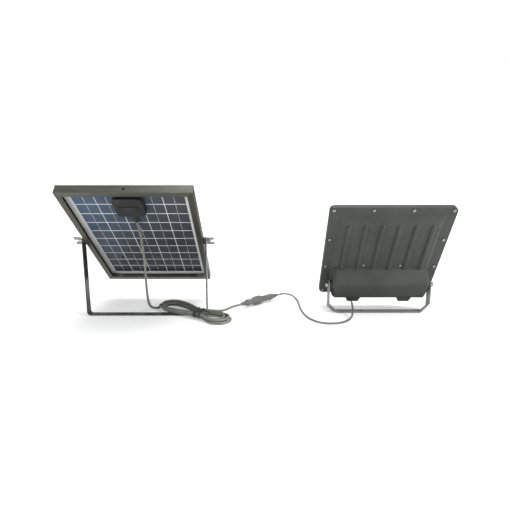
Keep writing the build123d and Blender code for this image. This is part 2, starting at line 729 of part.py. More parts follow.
# ---- Lamp bracket, with skewed facets at its lower corners ----
lamp_foot_place = Pos(lamp_x, lamp_y, 0)
lamp_arm_top = lamp_pivot_height + lamp_strip_width / 2
facet_length = math.sqrt(2 + corner_skew ** 2)


def strip_block(half, bottom, top, inset):
    """A block with both lower corners cut by a facet, moved in by a sheet thickness."""
    block = box_between((-half, -lamp_strip_width, bottom), (half, lamp_strip_width, top))
    for side in (-1, 1):
        reach = corner_leg + inset * facet_length
        corner = (side * (lamp_arm_outer - reach), 0, 0)
        block -= half_space(corner, (side, -corner_skew, -1))
    return block


lamp_outer = strip_block(lamp_arm_outer, 0, lamp_arm_top, 0)
lamp_inner = strip_block(lamp_arm_inner, lamp_strip_thickness, lamp_arm_top + 10,
                         lamp_strip_thickness)
lamp_arm_shape = box_between((-lamp_arm_outer, -lamp_strip_width / 2, 0),
                             (lamp_arm_outer, lamp_strip_width / 2, lamp_pivot_height))
lamp_arm_shape += cylinder_x(-lamp_arm_outer, lamp_arm_outer, lamp_strip_width / 2, 0,
                             lamp_pivot_height)
lamp_bracket = (lamp_outer - lamp_inner) & lamp_arm_shape
lamp_bracket -= cylinder_x(-lamp_bracket_width, lamp_bracket_width,
                           lamp_bolt_radius + running_clearance, 0, lamp_pivot_height)
lamp_bracket -= slots_and_hole(Location())
keep("lamp_bracket", lamp_bracket, place=lamp_foot_place)


# ---- Cables ----
def route_tube(name, points, diameter):
    """A tube along straight runs joined by the largest tangent arcs the runs allow."""
    vectors = [Vector(*p) for p in points]
    runs = [b - a for a, b in zip(vectors, vectors[1:])]
    radii = []
    for before, after in zip(runs, runs[1:]):
        turn = math.radians(before.get_angle(after))
        radii.append(0.45 * min(before.length, after.length) / math.tan(turn / 2))
    path = FilletPolyline(*vectors, radius=radii)
    section = Plane(origin=vectors[0], z_dir=runs[0]) * Circle(diameter / 2)
    keep(name, sweep(section, path=path))
    print(name, "length", round(path.length, 1), "least bend", round(min(radii) / diameter, 2),
          "diameters")


def placed(place, point):
    """A point given in a body's own frame, in the object's frame."""
    position = (place * Pos(*point)).position
    return (position.X, position.Y, position.Z)


def heading(angle):
    """A level unit direction at an angle from +X."""
    return Vector(math.cos(math.radians(angle)), math.sin(math.radians(angle)), 0)


def hank_point(angle, along, across, height=0.0):
    """A point in one half of the hank, from its waist."""
    u = heading(angle)
    v = heading(angle + 90)
    point = Vector(hank_waist[0], hank_waist[1], height) + u * along + v * across
    return (point.X, point.Y, point.Z)


left_outline = [(-10, waist_half), (-45, 25), (-88, 27), (-112, 18), (-125, 2), (-122, -16), (-104, -16),
                (-84, -23), (-45, -19), (-10, -waist_half)]
right_outline = [(10, -waist_half), (30, -21), (55, -22), (66, -10), (69, 6), (60, 19), (28, 19),
                 (10, waist_half)]
hank_corners = [hank_point(hank_left_angle, *p)[:2] for p in left_outline]
hank_corners += [hank_point(hank_right_angle, *p)[:2] for p in right_outline]
hank_outline = make_face(Polyline(*hank_corners, close=True))
hank = Pos(0, 0, hank_bottom) * extrude(hank_outline, hank_top - hank_bottom)
tie_place = Pos(hank_waist[0], hank_waist[1], 0) * Rot(0, 0, (hank_left_angle + hank_right_angle) / 2)
ties = []
for side in (-1, 1):
    tie_half = waist_half + tie_slack
    outer = box_between((side * tie_offset - tie_width / 2, -tie_half - tie_thickness,
                         hank_bottom - tie_thickness),
                        (side * tie_offset + tie_width / 2, tie_half + tie_thickness,
                         hank_top + tie_thickness))
    inner = box_between((side * tie_offset - tie_width, -tie_half, hank_bottom),
                        (side * tie_offset + tie_width, tie_half, hank_top))
    ties.append(outer - inner)
keep("cable_hank", hank)
keep("hank_ties", *ties, place=tie_place)

lead_exit = placed(panel_place, (0, lead_exit_y, gland_z))
lead_down = placed(panel_place, (0, lead_exit_y + lead_straight, gland_z))
hank_entry = hank_point(hank_left_angle, -113, -16, hank_mid_height)
before_entry = hank_point(hank_left_angle, -113, -38, hank_mid_height)
panel_lead_points = [lead_exit, lead_down, (1, -28, 166), (3, -21, 128), (3, -17, 88), (2, -10, 50),
                     (1, 3, 22), before_entry, hank_entry]
route_tube("panel_lead", panel_lead_points, panel_lead_diameter)

connector_base = Vector(*connector_start, connector_height)
connector_axis = heading(connector_angle)
tail_start = hank_point(hank_right_angle, 44, 19, hank_mid_height)
tail_bend = hank_point(hank_right_angle, 44, 45, hank_mid_height)
tail_end = connector_base - connector_axis * tail_straight
tail_points = [tail_start, tail_bend, (tail_end.X, tail_end.Y, tail_end.Z),
               (connector_base.X, connector_base.Y, connector_base.Z)]
route_tube("panel_lead_tail", tail_points, panel_lead_diameter)

connector_plane = Plane(origin=connector_base, z_dir=connector_axis)


def turned(name, steps, extra=None):
    """A connector piece turned from (start, end, first radius, last radius) steps."""
    body = None
    for start, end, r0, r1 in steps:
        if r0 == r1:
            step = Cylinder(r0, end - start)
        else:
            step = Cone(r0, r1, end - start)
        step = Pos(0, 0, (start + end) / 2) * step
        body = step if body is None else body + step
    for piece in extra or []:
        body -= piece
    keep(name, connector_plane.location * body)


nut_grooves = []
for index in range(nut_groove_count):
    angle = 2 * math.pi * index / nut_groove_count
    nut_grooves.append(Pos(nut_groove_circle * math.cos(angle), nut_groove_circle * math.sin(angle),
                           nut_middle) * Cylinder(nut_groove_radius, nut_groove_length))
turned("socket_boot", [(0, 4, 3.6, 3.6), (4, 16, 3.8, 6.0)])
turned("socket_body", [(16, 20, 7.6, 7.6), (20, 34, 6.8, 6.8), (34, 38, 8.0, 8.0)])
turned("coupling_nut", [(38, 40, 9.0, 10.0), (40, 56, 10.0, 10.0), (56, 58, 10.0, 9.0)], nut_grooves)
turned("plug_body", [(58, 61, 7.8, 7.8), (61, 84, 6.8, 6.8), (84, 94, 7.4, 6.4)])
turned("plug_boot", [(94, 106, 5.8, 3.6), (106, connector_length, 3.2, 3.2)])

lamp_lead_start = connector_base + connector_axis * connector_length
lamp_lead_next = lamp_lead_start + connector_axis * boot_straight
lead_end = placed(lamp_place, (grommet_x, grommet_y, pad_rear - grommet_length))
before_end = placed(lamp_place, (grommet_x, grommet_y,
                                 pad_rear - grommet_length - lamp_lead_straight))
lead_floor = lamp_lead_diameter / 2 + 0.3
lamp_lead_points = [(lamp_lead_start.X, lamp_lead_start.Y, lamp_lead_start.Z),
                    (lamp_lead_next.X, lamp_lead_next.Y, lamp_lead_next.Z),
                    (305, 131, 8.5), (318, 126, 5.5), (325, 110, lead_floor),
                    (327, 82, lead_floor), (326, 42, lead_floor), (329, 0, lead_floor),
                    (337, -34, lead_floor),
                    (356, -58, lead_floor), (382, -63, lead_floor), (408, -52, lead_floor),
                    (426, -30, 4), before_end, lead_end]
route_tube("lamp_lead", lamp_lead_points, lamp_lead_diameter)

os.makedirs("parts", exist_ok=True)
for name, shape in nodes.items():
    export_step(shape, "parts/" + name + ".step")
print(len(nodes), "nodes")
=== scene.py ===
"""Solar flood light: looks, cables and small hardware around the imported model."""
import math

import bmesh
import bpy
from mathutils import Matrix, Vector

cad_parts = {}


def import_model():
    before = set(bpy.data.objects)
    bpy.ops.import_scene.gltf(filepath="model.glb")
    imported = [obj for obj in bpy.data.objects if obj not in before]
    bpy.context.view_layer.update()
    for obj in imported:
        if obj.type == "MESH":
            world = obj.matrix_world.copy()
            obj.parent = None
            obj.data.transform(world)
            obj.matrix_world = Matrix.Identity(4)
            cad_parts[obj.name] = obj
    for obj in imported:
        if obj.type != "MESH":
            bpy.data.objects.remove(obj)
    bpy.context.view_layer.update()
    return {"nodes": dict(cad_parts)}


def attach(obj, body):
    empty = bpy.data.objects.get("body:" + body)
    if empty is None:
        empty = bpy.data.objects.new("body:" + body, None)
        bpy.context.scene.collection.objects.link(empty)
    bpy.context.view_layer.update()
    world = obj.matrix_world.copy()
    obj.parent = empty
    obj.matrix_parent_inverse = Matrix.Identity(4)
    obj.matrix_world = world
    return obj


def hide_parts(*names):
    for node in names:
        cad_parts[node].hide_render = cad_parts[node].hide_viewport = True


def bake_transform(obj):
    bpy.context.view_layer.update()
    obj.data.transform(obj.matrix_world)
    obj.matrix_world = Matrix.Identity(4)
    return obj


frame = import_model()
nodes = frame["nodes"]
MM = 0.001
PANEL_TILT = math.radians(-41.5)
PANEL_PIVOT_Z = 0.158
UNTILT = (-PANEL_TILT, 0, 0)
PANEL_PLACE = Matrix.Translation((0, 0, PANEL_PIVOT_Z)) @ Matrix.Rotation(PANEL_TILT, 4, "X")


# ---- Camera ----
CAMERA_PLACE = (0.2265, -0.8056, 0.2727)
CAMERA_PITCH = 10.17
CAMERA_LENS = 27.93


def camera(place, pitch, lens):
    """A level-sided camera that looks along +Y and down by the pitch, in degrees."""
    data = bpy.data.cameras.new("camera")
    data.lens = lens
    data.sensor_width = 36.0
    data.clip_start, data.clip_end = 0.01, 50.0
    obj = bpy.data.objects.new("camera", data)
    bpy.context.scene.collection.objects.link(obj)
    obj.location = place
    obj.rotation_euler = (math.radians(90 - pitch), 0, 0)
    bpy.context.scene.camera = obj


camera(CAMERA_PLACE, CAMERA_PITCH, CAMERA_LENS)


# ---- Shared shader groups ----
def new_group(name, inputs, outputs):
    group = bpy.data.node_groups.new(name, "ShaderNodeTree")
    kinds = {"f": "NodeSocketFloat", "v": "NodeSocketVector", "c": "NodeSocketColor"}
    for label, kind in inputs:
        group.interface.new_socket(label, in_out="INPUT", socket_type=kinds[kind])
    for label, kind in outputs:
        group.interface.new_socket(label, in_out="OUTPUT", socket_type=kinds[kind])
    source = group.nodes.new("NodeGroupInput")
    sink = group.nodes.new("NodeGroupOutput")
    return group, source.outputs, sink.inputs


def wire(tree, kind, links=None, **settings):
    """A node with its settings, its linked inputs and its constant inputs."""
    node = tree.nodes.new(kind)
    for key, value in settings.items():
        setattr(node, key, value)
    for key, value in (links or {}).items():
        if isinstance(value, bpy.types.NodeSocket):
            tree.links.new(value, node.inputs[key])
        else:
            node.inputs[key].default_value = value
    return node


def math_node(tree, operation, a, b, clamp=False):
    made = wire(tree, "ShaderNodeMath", {0: a, 1: b}, operation=operation, use_clamp=clamp)
    return made.outputs[0]


def ranged(tree, value, low=0.0, high=1.0, to_low=0.0, to_high=1.0):
    """A value moved from one range to another, and kept inside it."""
    made = wire(tree, "ShaderNodeMapRange", {"Value": value, "From Min": low, "From Max": high,
                                             "To Min": to_low, "To Max": to_high})
    return made.outputs[0]


def mixed(tree, factor, a, b):
    return wire(tree, "ShaderNodeMix", {0: factor, 6: a, 7: b}, data_type="RGBA").outputs[2]


def noise(tree, vector, scale, detail, roughness=0.5):
    made = wire(tree, "ShaderNodeTexNoise", {"Vector": vector, "Scale": scale, "Detail": detail,
                                             "Roughness": roughness})
    return made.outputs["Fac"]


def make_surface_group():
    """Fine grain for the height, soft blotches for the colour and the roughness."""
    group, given, result = new_group(
        "surface", [("Vector", "v"), ("Fine", "f"), ("Coarse", "f"), ("Dark", "c"), ("Light", "c"),
                    ("Rough low", "f"), ("Rough high", "f")],
        [("Colour", "c"), ("Roughness", "f"), ("Height", "f")])
    fine = noise(group, given["Vector"], given["Fine"], 3.0, 0.6)
    blotch = ranged(group, noise(group, given["Vector"], given["Coarse"], 4.0, 0.55), 0.35, 0.65)
    speck = math_node(group, "MULTIPLY", fine, 0.35)
    tone = math_node(group, "ADD", math_node(group, "MULTIPLY", blotch, 0.65), speck, True)
    group.links.new(mixed(group, tone, given["Dark"], given["Light"]), result["Colour"])
    rough = ranged(group, tone, to_low=given["Rough low"], to_high=given["Rough high"])
    group.links.new(rough, result["Roughness"])
    group.links.new(fine, result["Height"])
    return group


def make_dust_group():
    """A pale film gathered in soft patches over a colour."""
    group, given, result = new_group(
        "dust", [("Vector", "v"), ("Colour", "c"), ("Film", "c"), ("Amount", "f"), ("Scale", "f")],
        [("Colour", "c")])
    mask = ranged(group, noise(group, given["Vector"], given["Scale"], 6.0, 0.7), 0.5, 0.8)
    amount = math_node(group, "MULTIPLY", mask, given["Amount"], True)
    group.links.new(mixed(group, amount, given["Colour"], given["Film"]), result["Colour"])
    return group


SURFACE = make_surface_group()
DUST = make_dust_group()
DUST_SCALE = 60.0


def srgb(r, g, b):
    """A linear colour from an ordinary 0 to 255 one."""
    linear = [((c / 255 + 0.055) / 1.055) ** 2.4 if c > 10 else c / 3295 for c in (r, g, b)]
    return (*linear, 1.0)


def start_material(name):
    mat = bpy.data.materials.new(name)
    mat.use_nodes = True
    tree = mat.node_tree
    shader = tree.nodes["Principled BSDF"]
    coords = tree.nodes.new("ShaderNodeTexCoord").outputs["Object"]
    return mat, tree, shader, coords


def finish(name, dark, light, rough, fine=900.0, coarse=25.0, bump=0.15, depth=0.0002,
           metallic=0.0, stretch=(1, 1, 1), turn=(0, 0, 0), coat=0.0, dust=0.0,
           film=(200, 198, 188)):
    """A finish with grain, soft tone changes and a little dust, on object coordinates."""
    mat, tree, shader, coords = start_material(name)
    vector = wire(tree, "ShaderNodeMapping", {"Vector": coords, "Rotation": turn}).outputs[0]
    vector = wire(tree, "ShaderNodeMapping", {"Vector": vector, "Scale": stretch}).outputs[0]
    surface = wire(tree, "ShaderNodeGroup",
                   {"Vector": vector, "Fine": fine, "Coarse": coarse, "Dark": srgb(*dark),
                    "Light": srgb(*light), "Rough low": rough[0], "Rough high": rough[1]},
                   node_tree=SURFACE)
    colour = surface.outputs["Colour"]
    if dust:
        colour = wire(tree, "ShaderNodeGroup",
                      {"Vector": coords, "Colour": colour, "Film": srgb(*film), "Amount": dust,
                       "Scale": DUST_SCALE}, node_tree=DUST).outputs["Colour"]
    tree.links.new(colour, shader.inputs["Base Color"])
    tree.links.new(surface.outputs["Roughness"], shader.inputs["Roughness"])
    grain = wire(tree, "ShaderNodeBump", {"Height": surface.outputs["Height"], "Strength": bump,
                                          "Distance": depth})
    tree.links.new(grain.outputs[0], shader.inputs["Normal"])
    shader.inputs["Metallic"].default_value = metallic
    shader.inputs["Coat Weight"].default_value = coat
    shader.inputs["Coat Roughness"].default_value = 0.15
    return mat


def clear_glass(name, tint, rough=0.03):
    """Glass with faint smears in its gloss."""
    mat, tree, shader, coords = start_material(name)
    haze = ranged(tree, noise(tree, coords, 18.0, 3.0), to_low=rough, to_high=rough * 3)
    tree.links.new(haze, shader.inputs["Roughness"])
    shader.inputs["Base Color"].default_value = tint
    shader.inputs["Transmission Weight"].default_value = 1.0
    shader.inputs["IOR"].default_value = 1.45
    return mat


def cell_finish():
    """Crystalline cells under a clear sheet: grains, fine fingers, a slow random change of colour,
    painted shade that darkens them towards the panel's bottom and a painted bluish sheen towards
    its left.
    """
    mat, tree, shader, coords = start_material("cell_finish")
    local = wire(tree, "ShaderNodeMapping", {"Vector": coords, "Location": (0, 0, -PANEL_PIVOT_Z)})
    flat = wire(tree, "ShaderNodeMapping", {"Vector": local.outputs[0], "Rotation": UNTILT})
    flat = flat.outputs[0]
    slow = noise(tree, flat, 9.0, 2.0)
    axes = wire(tree, "ShaderNodeSeparateXYZ", {"Vector": flat})
    # Painted shade towards the panel's bottom edge and a painted bluish sheen towards the left,
    # with a little random tone mixed into the sheen.
    down = ranged(tree, axes.outputs["Y"], -0.15, 0.12)
    left = ranged(tree, axes.outputs["X"], 0.11, -0.12)
    painted_sheen_and_tone = math_node(tree, "SUBTRACT", left, math_node(tree, "MULTIPLY", down, 0.9), True)
    painted_sheen_and_tone = math_node(tree, "ADD", painted_sheen_and_tone, math_node(tree, "MULTIPLY", slow, 0.22), True)
    # Painted shade: grey-brown cells turn near black towards the bottom edge, then take the
    # painted bluish sheen.
    brown_painted_shade = mixed(tree, down, srgb(70, 70, 69), srgb(11, 12, 13))
    colour = mixed(tree, painted_sheen_and_tone, brown_painted_shade, srgb(66, 92, 122))
    grains = wire(tree, "ShaderNodeTexVoronoi", {"Vector": flat, "Scale": 160.0})
    shade = math_node(tree, "MULTIPLY", grains.outputs["Color"], 0.06)
    colour = mixed(tree, shade, colour, srgb(96, 104, 112))
    fingers = wire(tree, "ShaderNodeTexWave", {"Vector": flat, "Scale": 150.0},
                   bands_direction="Y", wave_profile="SIN")
    comb = ranged(tree, fingers.outputs["Fac"], 0.86, 0.98, to_high=0.2)
    colour = mixed(tree, comb, colour, srgb(120, 126, 130))
    tree.links.new(colour, shader.inputs["Base Color"])
    tree.links.new(ranged(tree, slow, to_low=0.2, to_high=0.34), shader.inputs["Roughness"])
    shader.inputs["Specular IOR Level"].default_value = 0.28
    return mat


def chip_finish():
    """Yellow phosphor dot on a white package."""
    mat, tree, shader, coords = start_material("chip_finish")
    colour = mixed(tree, noise(tree, coords, 1800.0, 2.0), srgb(226, 190, 60), srgb(244, 222, 120))
    tree.links.new(colour, shader.inputs["Base Color"])
    shader.inputs["Roughness"].default_value = 0.3
    shader.inputs["Coat Weight"].default_value = 0.5
    return mat


ALONG_X = (0.04, 1, 1)
ALONG_Y = (1, 0.04, 1)
FINISHES = {
    "frame_across": dict(dark=(84, 85, 79), light=(118, 119, 111), rough=(0.26, 0.42), fine=700,
                         coarse=60, bump=0.25, metallic=0.9, stretch=ALONG_X, dust=0.06),
    # The side rails wear a darker, browner copy of the frame finish: painted shade on the same
    # aluminium as the top and bottom rails.
    "frame_along_painted_shade": dict(dark=(72, 70, 63), light=(102, 99, 90), rough=(0.28, 0.44), fine=700,
                        coarse=60, bump=0.25, metallic=0.9, stretch=ALONG_Y, turn=UNTILT,
                        dust=0.06),
    "sheet": dict(dark=(216, 219, 218), light=(238, 240, 239), rough=(0.18, 0.3), fine=260,
                  coarse=14, bump=0.05, coat=0.3),
    "tinned": dict(dark=(176, 178, 176), light=(224, 225, 222), rough=(0.2, 0.4), fine=1400,
                   coarse=160, bump=0.3, metallic=0.9),
    "box_black": dict(dark=(14, 14, 15), light=(34, 34, 35), rough=(0.38, 0.55), fine=1500,
                      coarse=40, bump=0.3, dust=0.05),
    "bright_steel": dict(dark=(126, 127, 124), light=(186, 186, 181), rough=(0.18, 0.34),
                         fine=1100, coarse=120, bump=0.2, metallic=1.0),
    "dark_washer": dict(dark=(22, 22, 21), light=(48, 47, 44), rough=(0.45, 0.62), fine=1300,
                        coarse=90, bump=0.3),
    "bracket_black": dict(dark=(13, 13, 14), light=(32, 31, 30), rough=(0.24, 0.4), fine=600,
                          coarse=35, bump=0.12, coat=0.25, dust=0.1),
    "bracket_grey": dict(dark=(112, 114, 110), light=(138, 140, 135), rough=(0.36, 0.52),
                         fine=1100, coarse=30, bump=0.25, dust=0.08),
    "casting": dict(dark=(50, 53, 49), light=(66, 69, 64), rough=(0.46, 0.6), fine=1500,
                    coarse=16, bump=0.5, depth=0.00025, dust=0.06, film=(120, 123, 115)),
    "seal": dict(dark=(20, 20, 20), light=(36, 36, 36), rough=(0.6, 0.75), fine=1200, coarse=60),
    "board_white": dict(dark=(214, 216, 214), light=(234, 236, 233), rough=(0.3, 0.42), fine=900,
                        coarse=40),
    "wrap_blue": dict(dark=(24, 78, 128), light=(36, 98, 150), rough=(0.25, 0.38), fine=500,
                      coarse=40),
    "board_green": dict(dark=(18, 70, 38), light=(30, 92, 52), rough=(0.3, 0.45), fine=1200,
                        coarse=200),
    "key_metal": dict(dark=(140, 140, 138), light=(176, 176, 172), rough=(0.4, 0.55),
                      metallic=1.0),
    "sheath": dict(dark=(104, 107, 99), light=(130, 133, 124), rough=(0.44, 0.6), fine=1200,
                   coarse=45, bump=0.22, dust=0.06),
    "lamp_sheath": dict(dark=(98, 101, 94), light=(122, 125, 117), rough=(0.44, 0.6), fine=1200,
                        coarse=45, bump=0.22, dust=0.06),
    "tie_black": dict(dark=(12, 12, 12), light=(34, 34, 33), rough=(0.35, 0.5), fine=1500,
                      coarse=120),
    "nylon": dict(dark=(92, 95, 89), light=(118, 121, 114), rough=(0.38, 0.54), fine=1600,
                  coarse=50, bump=0.3, dust=0.04),
}
LOOK = {name: finish(name, **settings) for name, settings in FINISHES.items()}
LOOK["cells"] = cell_finish()
LOOK["cover_glass"] = clear_glass("cover_glass", (0.96, 0.98, 1.0, 1))
LOOK["lens_glass"] = clear_glass("lens_glass", (0.93, 0.97, 0.96, 1), 0.06)
LOOK["chips"] = chip_finish()

WEARERS = {
    "frame_across": ["panel_rail_top", "panel_rail_bottom"],
    # Side rails: the darker copy of the frame finish, painted shade.
    "frame_along_painted_shade": ["panel_rail_left", "panel_rail_right"],
    "key_metal": ["frame_corner_keys"],
    "cover_glass": ["panel_glass"],
    "sheet": ["panel_grid_sheet"],
    "cells": ["solar_cells"],
    "tinned": ["cell_busbars"],
    "box_black": ["junction_box_base", "junction_box_lid", "junction_box_gland", "battery_tray"],
    "dark_washer": ["junction_box_screws", "panel_pivot_spacers", "lead_grommet",
                    "serrated_washers"],
    "board_green": ["bypass_diode_board", "control_board"],
    "bright_steel": ["panel_pivot_bolts", "panel_pivot_washers", "panel_wing_nuts",
                     "flange_screws", "led_board_screws", "lamp_pivot_bolts", "spring_washers"],
    "casting": ["lamp_housing", "lamp_bezel"],
    "lens_glass": ["lamp_glass"],
    "seal": ["lamp_seal"],
    "board_white": ["led_board", "reflector_frame"],
    "chips": ["led_chips"],
    "wrap_blue": ["battery_cells"],
    "bracket_black": ["panel_bracket"],
    "bracket_grey": ["lamp_bracket"],
    "sheath": ["panel_lead", "cable_hank", "panel_lead_tail"],
    "lamp_sheath": ["lamp_lead"],
    "tie_black": ["hank_ties"],
    "nylon": ["socket_boot", "socket_body", "coupling_nut", "plug_body", "plug_boot"],
}
NODE_LOOK = {node: look for look, wearers in WEARERS.items() for node in wearers}
for node_name, look in NODE_LOOK.items():
    data = nodes[node_name].data
    data.materials.clear()
    data.materials.append(LOOK[look])


# ---- Piece helpers ----
EASED_SEGMENTS = 2
EASED_CORNER = math.radians(30)
FLAT_ANGLE = math.radians(0.6)
MERGE = 1e-6
CURVE_STEPS = 6


def piece_from_bmesh(name, bm, look, body=None, smooth_angle=28.0):
    """A smooth-shaded piece at the origin that rides on a body where one is given."""
    data = bpy.data.meshes.new(name)
    bm.to_mesh(data)
    bm.free()
    data.shade_smooth()
    data.set_sharp_from_angle(angle=math.radians(smooth_angle))
    data.materials.append(LOOK[look])
    obj = bpy.data.objects.new(name, data)
    bpy.context.scene.collection.objects.link(obj)
    if body:
        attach(obj, body)
    return obj


def eased(node, body, width):
    """A copy of a CAD piece with its sharp edges rounded, as made ones are."""
    bm = bmesh.new()
    bm.from_mesh(nodes[node].data)
    bmesh.ops.remove_doubles(bm, verts=bm.verts, dist=2 * MERGE)
    bmesh.ops.dissolve_limit(bm, angle_limit=FLAT_ANGLE, verts=bm.verts, edges=bm.edges)
    sharp = [e for e in bm.edges if len(e.link_faces) == 2
             and e.calc_face_angle(0) > EASED_CORNER]
    bmesh.ops.bevel(bm, geom=sharp, offset=width, offset_type="OFFSET", segments=EASED_SEGMENTS,
                    profile=0.5, affect="EDGES", clamp_overlap=True, material=-1)
    bmesh.ops.triangulate(bm, faces=[f for f in bm.faces if len(f.verts) > 4])
    obj = piece_from_bmesh(node + "_eased", bm, NODE_LOOK[node], body)
    even = obj.modifiers.new("even_shading", "WEIGHTED_NORMAL")
    even.keep_sharp = True
    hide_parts(node)


def nurbs(name, points, radius, cyclic=False):
    """A smooth line through the air near its control points, with a round section."""
    data = bpy.data.curves.new(name, "CURVE")
    data.dimensions = "3D"
    data.resolution_u = CURVE_STEPS
    spline = data.splines.new("NURBS")
    spline.points.add(len(points) - 1)
    for slot, point in zip(spline.points, points):
        slot.co = (*point, 1.0)
    spline.order_u = 3
    if cyclic:
        spline.use_cyclic_u = True
    else:
        spline.use_endpoint_u = True
    spline.resolution_u = CURVE_STEPS
    data.bevel_depth = radius
    data.bevel_resolution = 3
    data.use_fill_caps = not cyclic
    return bpy.data.objects.new(name, data)


def line_of(curve):
    """The points down the middle of a curve, read from its spline without a section."""
    bare = curve.copy()
    bare.data = curve.data.copy()
    bare.data.bevel_depth = 0
    mesh = bpy.data.meshes.new_from_object(bare)
    points = [v.co.copy() for v in mesh.vertices]
    bpy.data.meshes.remove(mesh)
    bpy.data.objects.remove(bare)
    return points


def tube_piece(curves, name, look, body=None):
    """One mesh piece from the curves' round sections."""
    bm = bmesh.new()
    for curve in curves:
        mesh = bpy.data.meshes.new_from_object(curve)
        bm.from_mesh(mesh)
        bpy.data.meshes.remove(mesh)
    bmesh.ops.remove_doubles(bm, verts=bm.verts, dist=MERGE)
    return piece_from_bmesh(name, bm, look, body, 50.0)


# ---- Cables ----
LEAD_D = 0.005
LAMP_D = 0.004
WAIST = Vector((0.112, -0.023, 0))
LEFT_ANGLE, RIGHT_ANGLE = math.radians(-42), math.radians(-22)
WAIST_ANGLE = (LEFT_ANGLE + RIGHT_ANGLE) / 2


def hank_point(angle, along, across, height):
    """A point in millimetres from the waist: along and across one loop, and above the floor."""
    u = Vector((math.cos(angle), math.sin(angle), 0))
    v = Vector((-math.sin(angle), math.cos(angle), 0))
    return WAIST + u * along * MM + v * across * MM + Vector((0, 0, height * MM))


def blended(first, last, share):
    return first + (last - first) * share


# A fold's corner points, as shares of its half width back from the tip and out to the side.
FOLD_BACK, FOLD_SIDE = 0.3, 0.74


def left_far(reach, far, near, tip_z, slot, z):
    """The left loop from its near tip round to the waist, along its far side."""
    half, middle = (far + near) / 2, (far - near) / 2
    corner, side = -reach + half * FOLD_BACK, half * FOLD_SIDE
    rows = [(corner, middle - side, tip_z), (-reach, middle, tip_z),
            (corner, middle + side, tip_z), (-reach + half * 1.1, far, tip_z),
            (-reach * 0.56, blended(slot, far, 0.92), tip_z + 1),
            (-reach * 0.36, blended(slot, far, 0.62), blended(z, tip_z, 0.5)),
            (-reach * 0.16, blended(slot, far, 0.2), blended(z, tip_z, 0.12))]
    return [hank_point(LEFT_ANGLE, *row) for row in rows]


def right_turn(reach, half, tip_z, slot, z, back, back_z):
    """Through the waist, round the right loop and back to the waist."""
    rows = [(reach * 0.24, blended(slot, half, 0.3), blended(z, tip_z, 0.3)),
            (reach * 0.46, blended(slot, half, 0.82), blended(z, tip_z, 0.8)),
            (reach - half, half * 1.03, tip_z), (reach - half * 0.28, half * FOLD_SIDE, tip_z),
            (reach, 0, tip_z), (reach - half * 0.28, -half * FOLD_SIDE, tip_z),
            (reach - half, -half * 1.03, tip_z),
            (reach * 0.45, -blended(back, half, 0.84), blended(back_z, tip_z, 0.8)),
            (reach * 0.22, -blended(back, half, 0.3), blended(back_z, tip_z, 0.3))]
    turn = [hank_point(WAIST_ANGLE, 0, slot, z)]
    turn += [hank_point(RIGHT_ANGLE, *row) for row in rows]
    turn.append(hank_point(WAIST_ANGLE, 0, -back, back_z))
    return turn


def left_near(reach, near, tip_z, slot, z, next_near):
    """From the waist along the left loop's near side towards its tip."""
    rows = [(-reach * 0.18, -blended(slot, near, 0.25), blended(z, tip_z, 0.2)),
            (-reach * 0.38, -blended(slot, near, 0.62), blended(z, tip_z, 0.6) + 0.8),
            (-reach * 0.6, -blended(slot, near, 0.95), tip_z + 1.2),
            (-reach * 0.79, -blended(near, next_near, 0.6), tip_z)]
    return [hank_point(LEFT_ANGLE, *row) for row in rows]


# Each turn: left reach, far and near half widths, left height, right reach, half width, height,
# then the strand's place at the waist going right and coming back.
TURNS = [
    (125, 27, 24, 2.8, 70, 24.5, 2.7, (7.8, 6.0), (7.8, 6.0)),
    (116, 20.5, 18.5, 2.8, 61, 18.7, 2.7, (2.6, 6.0), (2.6, 6.0)),
    (121, 24.5, 28, 8.0, 66, 23.3, 7.9, (7.8, 11.1), (7.8, 11.1)),
    (110, 18.5, 20, 8.0, 56, 18, 7.9, (2.6, 11.1), (2.6, 11.1)),
]
LEAD_TOP = [(0, -49.4, 202.5), (0, -35.2, 189.9), (1, -28, 166), (3, -21, 128), (3, -17, 88),
            (2, -10, 50), (1, 3, 22), (2.6, 24.4, 6.5), (12, 36, 2.8)]
TAIL = [(145, -22, 15.6), (157, -19.5, 14.2), (166, -6, 12.6), (173, 9, 11.4), (181.1, 24.6, 10.6),
        (196, 38, 10.4)]
route = [Vector(p) * MM for p in LEAD_TOP]
for index, (reach, far, near, tip_z, right, half, right_z, go, back) in enumerate(TURNS):
    following = TURNS[min(index + 1, len(TURNS) - 1)]
    route += left_far(reach, far, near, tip_z, *go)
    route += right_turn(right, half, right_z, *go, *back)
    route += left_near(blended(reach, following[0], 0.5), near, following[3], *back, following[2])
route += left_far(114, 21, 22, 13.1, 5.2, 16.2)
route.append(hank_point(WAIST_ANGLE, 0, 5.2, 16.2))
route += [Vector(p) * MM for p in TAIL]

panel_route = nurbs("panel_route", route, LEAD_D / 2)
panel_line = line_of(panel_route)
panel_cable = tube_piece([panel_route], "panel_cable", "sheath")
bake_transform(panel_cable)
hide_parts("panel_lead", "cable_hank", "panel_lead_tail")

LAMP_ROUTE = [(279.2, 112.9, 10.4), (291.1, 123.7, 10.4), (305, 131, 8.5), (318, 126, 5.5),
              (325, 110, 2.3), (327, 82, 2.3), (326, 42, 2.3), (329, 0, 2.3), (337, -34, 2.3),
              (356, -58, 2.3), (382, -63, 2.3), (408, -52, 2.3), (426, -30, 4), (434.5, 1.7, 15.5),
              (434.5, 17.4, 24.2)]
lamp_route = nurbs("lamp_route", [Vector(p) * MM for p in LAMP_ROUTE], LAMP_D / 2)
lamp_line = line_of(lamp_route)
lamp_cable = tube_piece([lamp_route], "lamp_cable", "lamp_sheath")
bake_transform(lamp_cable)
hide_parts("lamp_lead")

